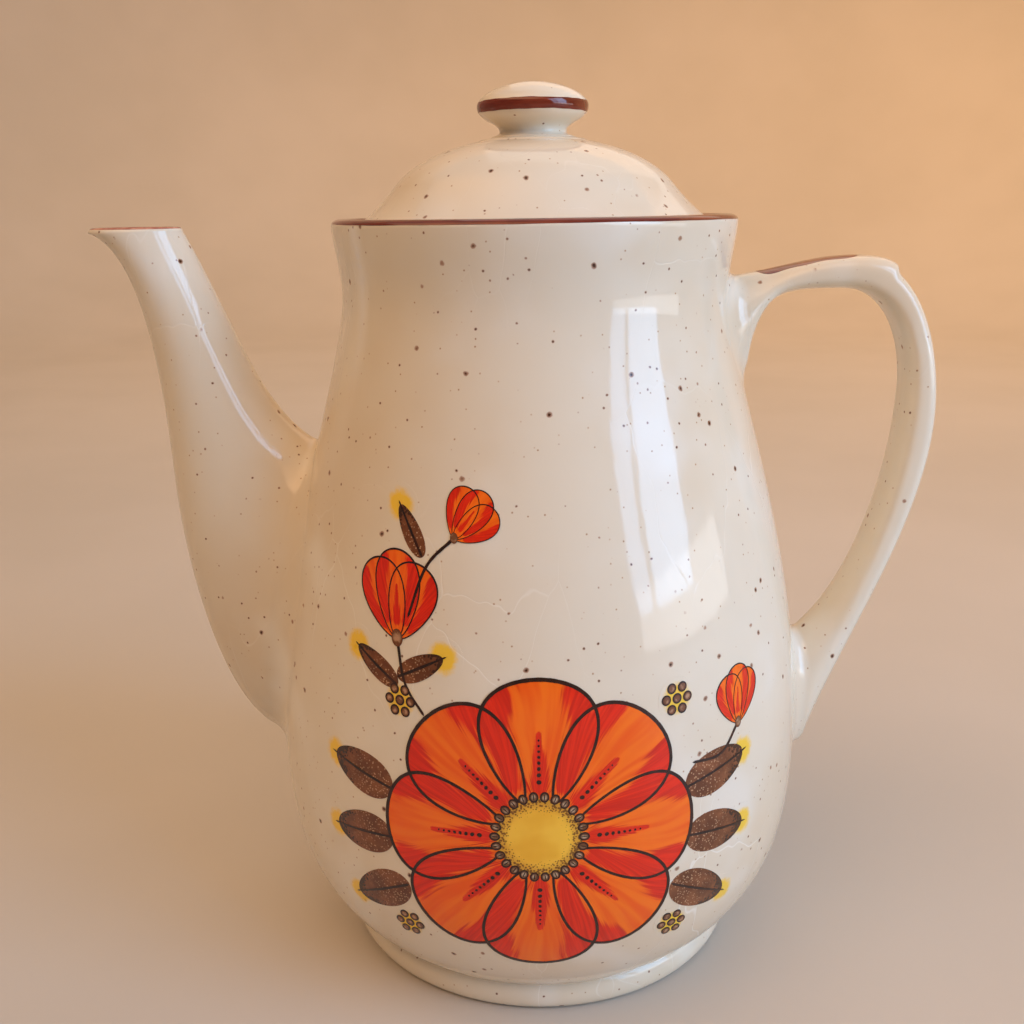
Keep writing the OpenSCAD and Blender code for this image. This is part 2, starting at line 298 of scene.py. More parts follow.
class Graph:
    """A short way to write a material's nodes."""

    def __init__(self, name):
        self.material = bpy.data.materials.new(name)
        self.material.use_nodes = True
        self.tree = self.material.node_tree
        self.tree.nodes.clear()
        self.output = self.tree.nodes.new("ShaderNodeOutputMaterial")
        self.shader = self.tree.nodes.new("ShaderNodeBsdfPrincipled")
        self.tree.links.new(self.shader.outputs[0], self.output.inputs[0])
        self.place = self.tree.nodes.new("ShaderNodeTexCoord").outputs["Object"]

    def put(self, socket, value):
        if isinstance(value, bpy.types.NodeSocket):
            self.tree.links.new(value, socket)
        else:
            socket.default_value = value

    def add(self, kind, out=0, settings=None, **inputs):
        node = self.tree.nodes.new(kind)
        for key, value in (settings or {}).items():
            setattr(node, key, value)
        for key, value in inputs.items():
            self.put(node.inputs[int(key[1:]) if key[1:].isdigit() else key.replace("_", " ")], value)
        return node.outputs[out]

    def math(self, what, a, b=0.0, c=0.0):
        return self.add("ShaderNodeMath", settings={"operation": what}, i0=a, i1=b, i2=c)

    def times(self, a, b):
        return self.math("MULTIPLY", a, b)

    def minus(self, a, b):
        return self.math("SUBTRACT", a, b)

    def scaled(self, a, b, plus):
        """a times b, plus a third value."""
        return self.math("MULTIPLY_ADD", a, b, plus)

    def field(self, name):
        return self.add("ShaderNodeAttribute", out="Fac", settings={"attribute_name": name})

    def stretch(self, x, y, z):
        return self.add("ShaderNodeVectorMath", settings={"operation": "MULTIPLY"},
                        i0=self.place, i1=(x, y, z))

    def noise(self, scale, detail, rough, vector=None):
        return self.add("ShaderNodeTexNoise", Vector=vector or self.place, Scale=scale, Detail=detail,
                        Roughness=rough)

    def step(self, value, low, high):
        """0 below low, 1 above high, and smooth between."""
        return self.add("ShaderNodeMapRange", settings={"interpolation_type": "SMOOTHSTEP"},
                        Value=value, From_Min=low, From_Max=high)

    def mix(self, factor, a, b):
        node = self.tree.nodes.new("ShaderNodeMix")
        node.data_type = "RGBA"
        for index, value in ((0, factor), (6, a), (7, b)):
            self.put(node.inputs[index], value)
        return node.outputs[2]

    def finish(self, colour, roughness, bump=None, height=0.00002):
        self.put(self.shader.inputs["Base Color"], colour)
        self.put(self.shader.inputs["Roughness"], roughness)
        self.shader.inputs["IOR"].default_value = 1.5
        if bump is not None:
            normal = self.add("ShaderNodeBump", Strength=1.0, Distance=height, Height=bump)
            self.put(self.shader.inputs["Normal"], normal)
        return self.material


CREAM = rgb(228, 218, 198)
CREAM_WARM = rgb(222, 206, 180)
CREAM_PALE = rgb(232, 225, 210)
SPECK = rgb(66, 36, 24)
SPECK_EDGE = rgb(150, 92, 56)
LINE_BROWN = rgb(104, 34, 20)
INK = rgb(32, 15, 12)
GLAZE_ROUGH, LINE_ROUGH, COLOUR_ROUGH = 0.07, 0.09, 0.10
GLAZE_RELIEF, LINE_RELIEF = 0.00006, 0.00003      # in metres


def specks(g, cell, size, colour_edge, colour_mid, under, strength=1.0):
    """Iron specks: the surface's cuts through small balls scattered in space, one to each cell."""
    warp = g.add("ShaderNodeTexNoise", out="Color", Vector=g.place, Scale=900.0, Detail=1.0)
    shifted = g.add("ShaderNodeVectorMath", settings={"operation": "MULTIPLY_ADD"},
                    i0=warp, i1=(size * 0.8,) * 3, i2=g.place)
    spot = g.add("ShaderNodeTexVoronoi", out="Distance", Vector=shifted, Scale=1 / cell)
    edge = g.minus(1.0, g.step(spot, size / cell * 0.8, size / cell * 1.25))
    middle = g.minus(1.0, g.step(spot, size / cell * 0.35, size / cell * 0.85))
    colour = g.mix(g.times(edge, 0.75 * strength), under, colour_edge)
    return g.mix(g.times(middle, strength), colour, colour_mid), middle


def glaze(g):
    """Colour and relief of the cream glaze, with its specks and its fine crazing, whose lines carry a
    painted highlight.
    """
    cloud = g.noise(14.0, 3.0, 0.55)
    colour = g.mix(g.step(cloud, 0.42, 0.68), CREAM, CREAM_WARM)
    colour = g.mix(g.step(g.noise(33.0, 2.0, 0.5), 0.52, 0.75), colour, CREAM_PALE)
    sway = g.add("ShaderNodeTexNoise", out="Color", Vector=g.stretch(1, 1, 0.5), Scale=38.0, Detail=3.0)
    tall = g.add("ShaderNodeVectorMath", settings={"operation": "MULTIPLY_ADD"},
                 i0=sway, i1=(0.022, 0.022, 0.012), i2=g.stretch(1, 1, 0.36))
    net = g.add("ShaderNodeTexVoronoi", settings={"feature": "DISTANCE_TO_EDGE"}, Vector=tall, Scale=44.0)
    crack = g.minus(1.0, g.step(net, 0.0, 0.007))
    where = g.step(g.noise(17.0, 1.0, 0.5), 0.44, 0.64)
    crack = g.times(crack, where)
    # Painted highlight: the real crazing lines are coloured paler than the glaze, as if catching the light,
    # and paler towards the bottom.
    up = g.add("ShaderNodeSeparateXYZ", out=2, i0=g.place)
    clear = g.scaled(g.step(up, 0.085, 0.150), -0.40, 0.58)
    colour = g.mix(g.times(crack, clear), colour, rgb(248, 244, 234))
    colour, _ = specks(g, 0.0030, 0.00026, rgb(196, 160, 120), rgb(150, 108, 74), colour, 0.7)
    colour, _ = specks(g, 0.0042, 0.00034, SPECK_EDGE, SPECK, colour, 0.9)
    colour, large = specks(g, 0.0078, 0.00068, SPECK_EDGE, SPECK, colour)
    relief = g.scaled(g.noise(55.0, 2.0, 0.5, vector=g.stretch(1, 1, 0.35)), 1.6,
                      g.times(g.noise(420.0, 1.0, 0.4), 0.12))
    relief = g.scaled(g.noise(210.0, 2.0, 0.6, vector=g.stretch(1, 1, 0.05)), 0.7, relief)
    relief = g.minus(relief, g.times(crack, 0.5))
    relief = g.minus(relief, g.times(large, 0.35))
    return colour, relief


def cream_material():
    g = Graph("cream_glaze")
    colour, relief = glaze(g)
    return g.finish(colour, GLAZE_ROUGH, bump=relief, height=GLAZE_RELIEF)


def bare_material():
    """Unglazed stoneware where the foot stands on the table."""
    g = Graph("bare_stoneware")
    grain = g.noise(700.0, 4.0, 0.7)
    colour = g.mix(g.step(grain, 0.35, 0.7), rgb(178, 152, 118), rgb(210, 190, 160))
    return g.finish(colour, 0.85, bump=grain, height=0.00012)


def line_material():
    """The red-brown lines, brushed on, thinner and redder in places."""
    g = Graph("brown_line")
    brush = g.noise(160.0, 3.0, 0.6, vector=g.stretch(0.5, 0.5, 2.5))
    colour = g.mix(g.step(brush, 0.38, 0.72), LINE_BROWN, rgb(128, 52, 32))
    return g.finish(colour, LINE_ROUGH, bump=brush, height=LINE_RELIEF)


def lip_material():
    """The thin worn line at the mouth of the spout."""
    g = Graph("lip_line")
    brush = g.noise(240.0, 3.0, 0.6)
    colour = g.mix(g.step(brush, 0.35, 0.7), rgb(158, 82, 62), rgb(206, 148, 124))
    return g.finish(colour, LINE_ROUGH, bump=brush, height=LINE_RELIEF)


def petal_material():
    """Orange, with red laid over it by a brush that leaves streaks along the petal."""
    g = Graph("petal_orange")
    curve = g.scaled(g.noise(45.0, 1.0, 0.4), 0.45, g.field("across"))
    fine = g.add("ShaderNodeCombineXYZ", X=g.times(curve, 17.0),
                 Y=g.times(g.field("along"), 1.7), Z=g.field("which"))
    soft = g.add("ShaderNodeCombineXYZ", X=g.times(curve, 6.0),
                 Y=g.times(g.field("along"), 1.2), Z=g.field("which"))
    hairs = g.noise(1.0, 3.0, 0.65, vector=fine)
    broad = g.noise(1.0, 2.0, 0.5, vector=soft)
    red = g.scaled(g.minus(hairs, 0.5), 1.5, g.field("shade"))
    red = g.scaled(g.minus(broad, 0.5), 0.9, red)
    mask = g.step(red, -0.08, 0.36)
    reds = g.mix(g.step(hairs, 0.34, 0.68), rgb(234, 44, 14), rgb(206, 32, 12))
    oranges = g.mix(g.step(broad, 0.35, 0.7), rgb(250, 116, 20), rgb(242, 92, 12))
    return g.finish(g.mix(mask, oranges, reds), COLOUR_ROUGH, bump=hairs)


def ink_material():
    g = Graph("outline_ink")
    wash = g.noise(300.0, 3.0, 0.6)
    return g.finish(g.mix(g.step(wash, 0.3, 0.75), INK, rgb(58, 30, 22)), COLOUR_ROUGH)


def yellow_material():
    """The flower's eye: yellow, stippled brown towards its edge."""
    g = Graph("eye_yellow")
    wash = g.noise(120.0, 2.0, 0.5)
    colour = g.mix(g.step(wash, 0.35, 0.7), rgb(246, 196, 66), rgb(236, 178, 50))
    shade = g.field("shade")
    colour = g.mix(g.times(g.step(shade, 0.35, 1.0), 0.55), colour, rgb(176, 118, 40))
    grain = g.add("ShaderNodeTexVoronoi", out="Distance", Vector=g.place, Scale=1700.0)
    bare = g.minus(grain, g.times(shade, 0.62))
    ticks = g.minus(1.0, g.step(bare, -0.10, 0.04))
    colour = g.mix(g.times(ticks, 0.85), colour, rgb(98, 54, 24))
    return g.finish(colour, COLOUR_ROUGH)


def leaf_material():
    """Brown leaves: pale flecks towards the stem, and dark stippling along the edge towards the tip."""
    g = Graph("leaf_brown")
    along = g.field("along")
    wash = g.noise(180.0, 3.0, 0.6)
    colour = g.mix(g.step(wash, 0.35, 0.7), rgb(98, 54, 30), rgb(134, 80, 48))
    marks = g.add("ShaderNodeTexVoronoi", out="Distance", Vector=g.place, Scale=1500.0)
    flecks = g.minus(1.0, g.step(marks, 0.20, 0.34))
    pale = g.times(flecks, g.minus(1.0, g.step(along, 0.35, 0.8)))
    colour = g.mix(g.times(pale, 0.75), colour, rgb(206, 164, 124))
    grain = g.add("ShaderNodeTexVoronoi", out="Distance", Vector=g.place, Scale=1350.0)
    edge = g.times(g.step(g.field("rim"), 0.35, 1.0), g.step(along, 0.35, 0.85))
    stipple = g.step(g.scaled(edge, 0.80, g.times(grain, -0.95)), 0.0, 0.14)
    colour = g.mix(g.times(stipple, 0.85), colour, rgb(44, 26, 18))
    return g.finish(colour, COLOUR_ROUGH)


def dab_material(name, scale, contrast, dark, pale, edge, edge_from):
    """A small brown dab: mottled, and darker towards its edge."""
    g = Graph(name)
    wash = g.noise(scale, 2.0, 0.5)
    colour = g.mix(g.step(wash, 0.5 - contrast, 0.5 + contrast), dark, pale)
    colour = g.mix(g.step(g.field("rim"), edge_from, 1.0), colour, edge)
    return g.finish(colour, COLOUR_ROUGH)


def halo_material():
    """Sprayed yellow that fades into the glaze."""
    g = Graph("yellow_halo")
    colour, relief = glaze(g)
    edge = g.scaled(g.noise(520.0, 3.0, 0.7), 0.5, g.field("shade"))
    amount = g.minus(1.0, g.step(edge, 0.72, 1.12))
    fadeout = g.minus(1.0, g.step(g.field("shade"), 0.78, 0.99))
    amount = g.times(g.times(amount, fadeout), 0.94)
    colour = g.mix(amount, colour, rgb(244, 200, 44))
    return g.finish(colour, GLAZE_ROUGH, bump=relief, height=GLAZE_RELIEF)


CREAM_GLAZE = cream_material()
BARE = bare_material()
BROWN_LINE = line_material()
LIP_LINE = lip_material()
PETAL = petal_material()
INK_LINE = ink_material()
EYE_YELLOW = yellow_material()
LEAF = leaf_material()
BERRY = dab_material("berry_fill", 650.0, 0.10, rgb(120, 76, 48), rgb(184, 142, 108), rgb(104, 60, 36), 0.35)
SEED = dab_material("seed_fill", 520.0, 0.12, rgb(112, 74, 46), rgb(190, 166, 138), rgb(98, 62, 38), 0.4)
HALO = halo_material()


# ---- turned pieces --------------------------------------------------------------------


def crown_surface(degrees, lift=0.0):
    """Points on the rim's crown, or raised from it by lift, at angles from its outside."""
    a = np.radians(degrees)
    mid, half = (RIM_R + MOUTH_R) / 2, (RIM_R - MOUTH_R) / 2
    return np.stack([mid + (half + lift) * np.cos(a), RIM_Z + (CROWN_H + lift) * np.sin(a)], -1)


def body_profile():
    under = np.vstack([[(0.0, HOLLOW_H), (20, HOLLOW_H), (38, HOLLOW_H)],
                       bezier([(43, HOLLOW_H), (45, HOLLOW_H), (46.0, 5.4), (46.1, 4.2)],
                              np.linspace(0, 1, 7)),
                       [(46.4, 4.4), (46.5, FOOT_H), (54.2, FOOT_H - 0.05)]])
    outer = trace(BODY_CURVE, 76)
    inner = trace(BODY_CURVE[:2], 60) - [WALL, 0]
    inner = inner[(inner[:, 1] > FLOOR_Z + 5) & (inner[:, 1] < NECK_Z - 1)][::-1]
    mouth = bezier([(MOUTH_R, RIM_Z - 4), (MOUTH_R, 189), (NECK_R - WALL, 188), (NECK_R - WALL, NECK_Z)],
                   np.linspace(0, 1, 14))
    low = inner[-1]
    floor = bezier([low, (low[0] - 4, FLOOR_Z + 1), (low[0] - 8, FLOOR_Z), (40, FLOOR_Z)],
                   np.linspace(0, 1, 10))
    return np.vstack([under, outer, crown_surface(np.linspace(6, 176, 26)), [(MOUTH_R, RIM_Z)], mouth, inner,
                      floor[1:], [(20, FLOOR_Z), (0, FLOOR_Z)]])


def make_body():
    points = lathe(body_profile(), BODY_SIDES, ripple)
    body = build("body_ware", [(points, False)], CREAM_GLAZE, sharp=40)
    cut_pouring_hole(body)
    settle(body, "pot", "cream_glaze", "body_shell")


def cut_pouring_hole(body):
    """Cuts the hole that joins the body to the spout, through the wall on the spout's side."""
    count = 64
    angle = np.arange(count) * TURN / count
    x = np.array([-BELLY_R - 6, -BELLY_R + 14])[[0, 0, 1, 1], None]
    r = POUR_R * np.array([0, 1, 1, 0])[:, None]
    tube = np.stack(np.broadcast_arrays(x, r * np.cos(angle), POUR_Z + r * np.sin(angle)), -1)
    cutter = build("pouring_hole", [(tube, False)], CREAM_GLAZE)
    cut = body.modifiers.new("hole", "BOOLEAN")
    cut.operation, cut.solver, cut.object = "DIFFERENCE", "EXACT", cutter
    graph = bpy.context.evaluated_depsgraph_get()
    mesh = bpy.data.meshes.new_from_object(body.evaluated_get(graph))
    body.modifiers.clear()
    body.data = mesh
    mesh.shade_smooth()
    mesh.set_sharp_from_angle(angle=math.radians(40))
    bpy.data.objects.remove(cutter)


def make_foot():
    bulge = trace(FOOT_BULGE, 26)
    inner = rounded([(52.2, 0.35), (47.6, 0.35), (FOOT_IN_R, 2.2), (FOOT_IN_R, FOOT_H)], 0.8, closed=False)
    profile = np.vstack([bulge, inner[::-1]])
    foot = build("foot_ware", [(lathe(profile, BODY_SIDES), True)], CREAM_GLAZE, sharp=60)
    settle(foot, "pot", "cream_glaze", "foot_ring")
    band = rounded([(48.0, 0.9), (48.3, 0.0), (52.9, 0.0), (53.4, 0.9)], 0.5)
    contact = build("foot_contact", [(lathe(band, 200), True)], BARE, sharp=60)
    settle(contact, "pot", "cream_glaze")


def make_seat():
    root_r = MOUTH_R + 0.2
    outline = [(SEAT_IN_R, SEAT_Z - 3.6), (root_r, SEAT_Z - 6.5), (root_r, SEAT_Z), (SEAT_IN_R, SEAT_Z)]
    seat = build("seat_ware", [(lathe(rounded(outline, 0.7), 200), True)], CREAM_GLAZE, sharp=60)
    settle(seat, "pot", "cream_glaze", "lid_seat")


def make_lid():
    dome = trace(DOME_CURVE, 26)
    edge = bezier([(45.6, SEAT_Z), (46.5, SEAT_Z), (46.9, 197.6), (46.6, 198.6)], np.linspace(0, 1, 9))
    inside = trace(DOME_INNER, 50)
    profile = np.vstack([inside[::-1], [(42.2, SEAT_Z)], edge, dome[1:], [(6, 220.1), (0, 220.1)]])
    lid = build("lid_ware", [(lathe(profile, 256), False)], CREAM_GLAZE, sharp=60)
    settle(lid, "lid", "cream_glaze", "lid_dome")
    outline = [(39.4, 188.4), (42.2, 188.4), (42.2, SEAT_Z + 0.1), (39.4, SEAT_Z + 0.1)]
    skirt = build("skirt_ware", [(lathe(rounded(outline, 0.9), 200), True)], CREAM_GLAZE, sharp=60)
    settle(skirt, "lid", "cream_glaze", "lid_skirt")
    knob_line = np.vstack([[(0, 219.9)], trace(KNOB_UNDER, 24), trace(KNOB_OVER, 36)[1:]])
    knob = build("knob_ware", [(lathe(knob_line, 144), False)], CREAM_GLAZE, sharp=60)
    settle(knob, "lid", "cream_glaze", "knob")


def waver(angle, phase, size):
    """How far a brushed edge strays from true."""
    return size * (np.sin(3 * angle + phase) + 0.6 * np.sin(8 * angle - 2 * phase)
                   + 0.4 * np.sin(19 * angle + phase)) / 2


def painted_ring(name, surface, low, high, size, body, node):
    """A brushed line round a turned piece: surface(k, lift) gives its profile, k from low to high."""
    sides, across = 288, 13
    angle = np.arange(sides) * TURN / sides
    edge_low = low + waver(angle, 0.4, size)
    edge_high = high + waver(angle, 2.1, size)
    t = np.linspace(0, 1, across)[:, None]
    k = edge_low * (1 - t) + edge_high * t
    rows = []
    for lift, order in ((PAINT_LIFT, slice(None)), (PAINT_UNDER, slice(None, None, -1))):
        profile = surface(k[order], lift)
        r, z = profile[..., 0], profile[..., 1]
        rows.append(np.stack([r * np.sin(angle), -r * np.cos(angle), z], -1))
    piece = build(name, [(np.vstack(rows), True)], BROWN_LINE, sharp=60)
    settle(piece, body, "brown_line", node)


def knob_surface(z, lift):
    line = np.vstack([trace(KNOB_UNDER, 60), trace(KNOB_OVER, 60)[1:]])
    return np.stack([np.interp(z, line[:, 1], line[:, 0]) + lift, z], -1)


def make_lines():
    painted_ring("rim_paint", crown_surface, 18, 150, 4.0, "pot", "rim_line")
    painted_ring("knob_paint", knob_surface, 226.1, 228.8, 0.12, "lid", "knob_line")


# ---- spout and handle -----------------------------------------------------------------


def oval(outer, inner, half_w, angle, power=2.0):
    """Cross-sections through two edges in the X-Z plane: an ellipse, or a squarer one for a higher power."""
    c, s = np.cos(angle), np.sin(angle)
    c = np.sign(c) * np.abs(c) ** (2 / power)
    s = np.sign(s) * np.abs(s) ** (2 / power)
    centre, half = (outer + inner) / 2, (outer - inner) / 2
    x = centre[..., 0] + half[..., 0] * c
    z = centre[..., 1] + half[..., 1] * c
    return np.stack([x, half_w * s, z], -1)


def spout_point(s, angle, grow=0.0):
    """A point of the spout's skin. Below s = 0 the spout runs straight on into the body."""
    t = np.clip(s, 0, 1)
    outer, inner = along(SPOUT_OUTER, t), along(SPOUT_INNER, t ** 1.75)
    half = np.linalg.norm(outer - inner, axis=-1, keepdims=True) / 2
    centre, reach = (outer + inner) / 2, (outer - inner) / 2
    reach = reach * (half + grow) / half
    half_w = bezier(SPOUT_HALF_W, t)[..., 0] + grow
    p = oval(centre + reach, centre - reach, half_w, angle)
    inward = np.maximum(-s, 0)[..., None] * 60.0
    return p + inward * [0.86, 0, -0.5]


def handle_edges(s):
    outer, inner = along(HANDLE_OUTER, s), along(HANDLE_INNER, s)
    half_w = STRAP_W / 2 + 4 * np.maximum(0, 1 - 5 * s) ** 2 + 4 * np.maximum(0, 5 * s - 4) ** 2
    return outer, inner, half_w


def distances(line):
    """How far each point of a line is from its start, along the line."""
    return np.concatenate([[0], np.cumsum(np.linalg.norm(np.diff(line, axis=0), axis=1))])


HANDLE_PATH = distances(trace(HANDLE_OUTER, 300))


def handle_distance(s):
    """Distance along the outer edge of the strap, in millimetres."""
    return np.interp(s, np.linspace(0, 1, len(HANDLE_PATH)), HANDLE_PATH)


def handle_point(s, angle):
    """A point of the handle's skin. Beyond its ends it runs straight on into the body."""
    t = np.clip(s, 0, 1)
    outer, inner, half_w = handle_edges(t)
    power = 2.0 + 0.9 * fade(t, 0.05, 0.25) * (1 - fade(t, 0.75, 0.95))
    p = oval(outer, inner, half_w, angle, power)
    out = (outer - inner) / np.linalg.norm(outer - inner, axis=-1, keepdims=True)
    d = handle_distance(t) - handle_distance(NUB_S)
    bump = NUB_RISE * np.where(d < 0, np.exp(-(d / 6.5) ** 2), np.exp(-(d / 1.5) ** 2))
    bump = bump * np.maximum(np.cos(angle), 0) ** 0.8
    p = p + np.stack([out[..., 0] * bump, 0 * bump, out[..., 1] * bump], -1)
    inward = np.maximum(np.maximum(-s, s - 1), 0)[..., None] * 120.0
    return p - inward * [1.0, 0, 0]


def smooth_round(values, times=6):
    """Evens out values that run round a closed loop."""
    for _ in range(times):
        values = (np.roll(values, 1, 0) + 2 * values + np.roll(values, -1, 0)) / 4
    return values


def rooted(point_at, s_in, s_out, angle, widths, rows, fillet_rows=14):
    """Rows of a swept piece from the body's wall, over a fillet, to s_out."""
    s = np.linspace(s_in, s_out, 900)
    path = point_at(s[:, None], angle[None, :])
    gap = clearance(path)
    columns = np.arange(len(angle))
    k = len(s) - 2 - np.argmax((gap[:-1] < 0)[::-1], axis=0)
    g0, g1 = gap[k, columns], gap[k + 1, columns]
    part = (g0 / (g0 - g1))[:, None]
    joint = path[k, columns] * (1 - part) + path[k + 1, columns] * part
    u = np.arctan2(joint[:, 0], -joint[:, 1])
    if joint[:, 0].mean() < 0:
        u = np.where(u > 0, u - TURN, u)
    level = joint[:, 2]
    flat = np.stack([u * radius(level), level], -1)
    tangent = smooth_round(np.roll(flat, -1, 0) - np.roll(flat, 1, 0))
    normal = np.stack([tangent[:, 1], -tangent[:, 0]], -1)
    normal /= np.linalg.norm(normal, axis=1, keepdims=True)
    if ((flat - flat.mean(0)) * normal).sum() < 0:
        normal = -normal
    steps = np.linalg.norm(np.diff(path, axis=0), axis=-1)
    start = np.zeros(len(angle))
    for j in columns:
        run = np.concatenate([[0], np.cumsum(steps[k[j] + 1:, j])])
        start[j] = np.interp(widths[j], run, s[k[j] + 1:])
    start = smooth_round(start)
    shoulder = point_at(start, angle)

    def landing(extra, lift):
        spot = flat + normal * (widths[:, None] + extra)
        r0 = radius(level)
        return on_body(spot[:, 0] * radius(spot[:, 1]) / r0, spot[:, 1], lift)

    foot = landing(0.0, 0.0)
    t = np.linspace(0, 1, fillet_rows)[:, None, None]
    a, b = foot + 0.62 * (joint - foot), shoulder + 0.62 * (joint - shoulder)
    fillet = (1 - t) ** 3 * foot + 3 * (1 - t) ** 2 * t * a + 3 * (1 - t) * t * t * b + t ** 3 * shoulder
    out = [landing(extra, lift)[None] for extra, lift in TUCKS] + [fillet]
    share = np.linspace(0, 1, rows + 1)[1:, None]
    out.append(point_at(start + (s_out - start) * share, angle[None, :]))
    return np.vstack(out)


def make_spout():
    angle = np.arange(120) * TURN / 120
    side = np.abs(np.sin(angle))
    crotch = (1 - np.cos(angle)) / 2
    widths = 4.5 + 2.5 * side - 2.2 * crotch ** 3
    outside = rooted(spout_point, -0.25, 1.0, angle, widths, 110)
    rim_out, rim_in = spout_point(np.ones(1), angle), spout_point(np.ones(1), angle, -SPOUT_WALL)
    t = np.linspace(0, math.pi, 14)[1:, None, None]
    lip = (rim_out + rim_in) / 2 + (rim_out - rim_in) / 2 * np.cos(t) + np.array([0, 0, LIP_H]) * np.sin(t)
    s = np.linspace(1, -0.12, 90)[1:]
    channel = spout_point(s[:, None], angle[None, :], -SPOUT_WALL)
    inside = []
    for j in range(len(angle)):
        gap = clearance(channel[:, j])
        last = np.argmax(gap < -0.4) if (gap < -0.4).any() else len(s) - 1
        inside.append(channel[np.minimum(np.arange(len(s)), last), j])
    inside = np.stack(inside, 1)
    share = np.linspace(0, 1, 60)
    kept = []
    for j in range(len(angle)):
        run = distances(inside[:, j])
        kept.append(np.stack([np.interp(share * run[-1], run, inside[:, j, c]) for c in range(3)], -1))
    inside = np.stack(kept, 1)
    spout = build("spout_ware", [(np.vstack([outside, lip, inside]), True)], CREAM_GLAZE, sharp=70)
    settle(spout, "pot", "cream_glaze", "spout")
    make_lip_line(rim_out, rim_in)


def make_lip_line(rim_out, rim_in):
    """The painted line over the lip of the spout."""
    t = np.linspace(0.26, 0.64, 9)[:, None, None] * math.pi
    rows = []
    for lift, order in ((LIP_PAINT_LIFT, slice(None)), (LIP_PAINT_UNDER, slice(None, None, -1))):
        half = (rim_out - rim_in) / 2
        size = np.linalg.norm(half, axis=-1, keepdims=True)
        arc = (rim_out + rim_in) / 2 + half * (size + lift) / size * np.cos(t[order])
        rows.append(arc + np.array([0, 0, LIP_H + lift]) * np.sin(t[order]))
    line = build("lip_paint", [(np.vstack(rows), True)], LIP_LINE, sharp=70)
    settle(line, "pot", "brown_line", "spout_line")


def make_handle():
    angle = np.arange(96) * TURN / 96
    side = np.abs(np.sin(angle))
    upper_widths = 3.0 + 4.0 * side ** 1.5
    lower_widths = 3.2 + 3.0 * side ** 1.5
    upper = rooted(handle_point, -0.1, 0.36, angle, upper_widths, 90)
    lower = rooted(handle_point, 1.1, 0.60, angle, lower_widths, 110)
    near_nub = np.linspace(0.36, 0.46, 90)[1:]
    back = np.linspace(0.46, 0.60, 40)[1:-1]
    middle = handle_point(np.concatenate([near_nub, back])[:, None], angle[None, :])
    rows = np.vstack([upper, middle, lower[::-1]])
    caps = [np.broadcast_to(rows[i].mean(0) - [2.0, 0, 0], rows[i].shape)[None] for i in (0, -1)]
    handle = build("handle_ware", [(np.vstack([caps[0], rows, caps[1]]), False)], CREAM_GLAZE, sharp=70)
    settle(handle, "pot", "cream_glaze", "handle")
    make_handle_line()


def make_handle_line():
    """The brown line brushed along the top of the strap, with tapering ends."""
    s = np.linspace(0.06, 0.335, 110)
    t = (s - s[0]) / (s[-1] - s[0])
    spread = np.radians(34) * np.sqrt(np.clip(1 - (2 * t - 1) ** 6, 0, 1)) * (1 + 0.06 * np.sin(17 * t))
    strands = 9
    across = np.concatenate([np.linspace(-1, 1, strands), np.linspace(1, -1, strands)])
    angle = spread[:, None] * across[None, :]
    skin = handle_point(s[:, None], angle)
    outer, inner, _ = handle_edges(s)
    up = (outer - inner) / np.linalg.norm(outer - inner, axis=1, keepdims=True)
    lift = np.where(np.arange(2 * strands) < strands, PAINT_LIFT, PAINT_UNDER)[None, :, None]
    skin = skin + np.stack([up[:, 0], 0 * up[:, 0], up[:, 1]], -1)[:, None, :] * lift
    line = build("handle_paint", [(skin, False)], BROWN_LINE, sharp=60)
    settle(line, "pot", "brown_line", "handle_line")


# ---- decoration -----------------------------------------------------------------------

UNDER = -0.15            # how deep every film reaches into the wall
EDGE_TURN = math.radians(35)      # turn from a petal's axis, seen from its foot, that is 1 across


